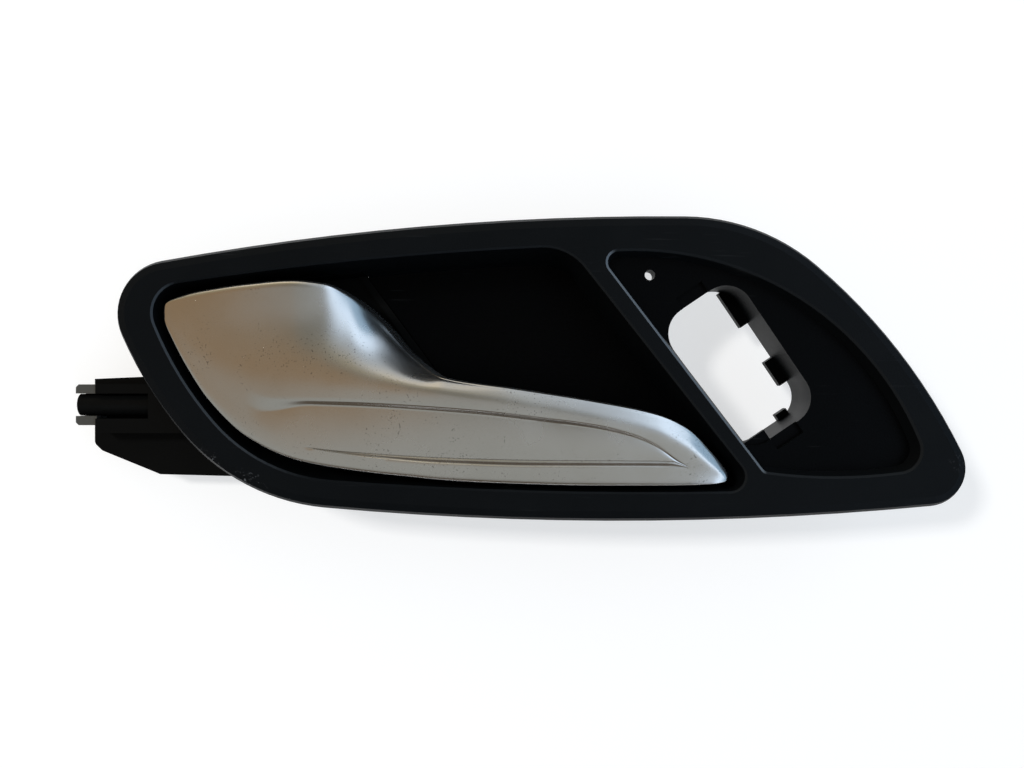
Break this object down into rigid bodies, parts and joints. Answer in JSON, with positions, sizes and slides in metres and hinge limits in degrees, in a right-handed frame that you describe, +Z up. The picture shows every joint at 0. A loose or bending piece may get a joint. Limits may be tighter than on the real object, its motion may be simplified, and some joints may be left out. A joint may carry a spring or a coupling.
{
  "type": "car interior door handle",
  "caption": "Interior car door handle: teardrop bezel with a finger cup, a sprung pull lever, a recessed switch cut-out and a side bracket that seats the latch cable.",
  "frame": {"origin": "centre of the fixing screw hole on the rear mounting face of its boss", "axes": "+X along the bezel towards the switch end, +Y into the door, +Z up"},
  "size_m": [0.2452, 0.043, 0.0815],
  "materials": {
    "bezel_plastic": "fine grained black",
    "base_plastic": "plain charcoal",
    "retainer_plastic": "plain grey",
    "lever_silver": "satin silver paint",
    "core_plastic": "plain black",
    "bush_plastic": "natural acetal",
    "pin_steel": "bright drawn",
    "screw_steel": "zinc plated",
    "spring_steel": "oiled",
    "bumper_rubber": "matte black",
    "foam": "open cell black foam"
  },
  "bodies": {
    "housing": {"bezel": "bezel_plastic", "hinge_base": "base_plastic", "base_screws": "screw_steel", "cable_retainer": "retainer_plastic", "pivot_pin": "pin_steel", "pin_clip": "spring_steel", "rest_bumper": "bumper_rubber", "travel_bumper": "bumper_rubber", "return_spring": "spring_steel", "trim_clips": "spring_steel", "foam_pad": "foam"},
    "lever": {"lever_skin": "lever_silver", "lever_core": "core_plastic", "core_screws": "screw_steel", "upper_bush": "bush_plastic", "lower_bush": "bush_plastic"}
  },
  "joints": [
    {"name": "lever_pull", "type": "hinge", "parent": "housing", "child": "lever", "pos_m": [-0.072, -0.031, 0.0235], "axis": [0, 0, -1], "range_deg": [0, 24], "stiffness_Nm_per_rad": 0.3, "springref_deg": -34.38, "deforming": ["return_spring"]}
  ]
}
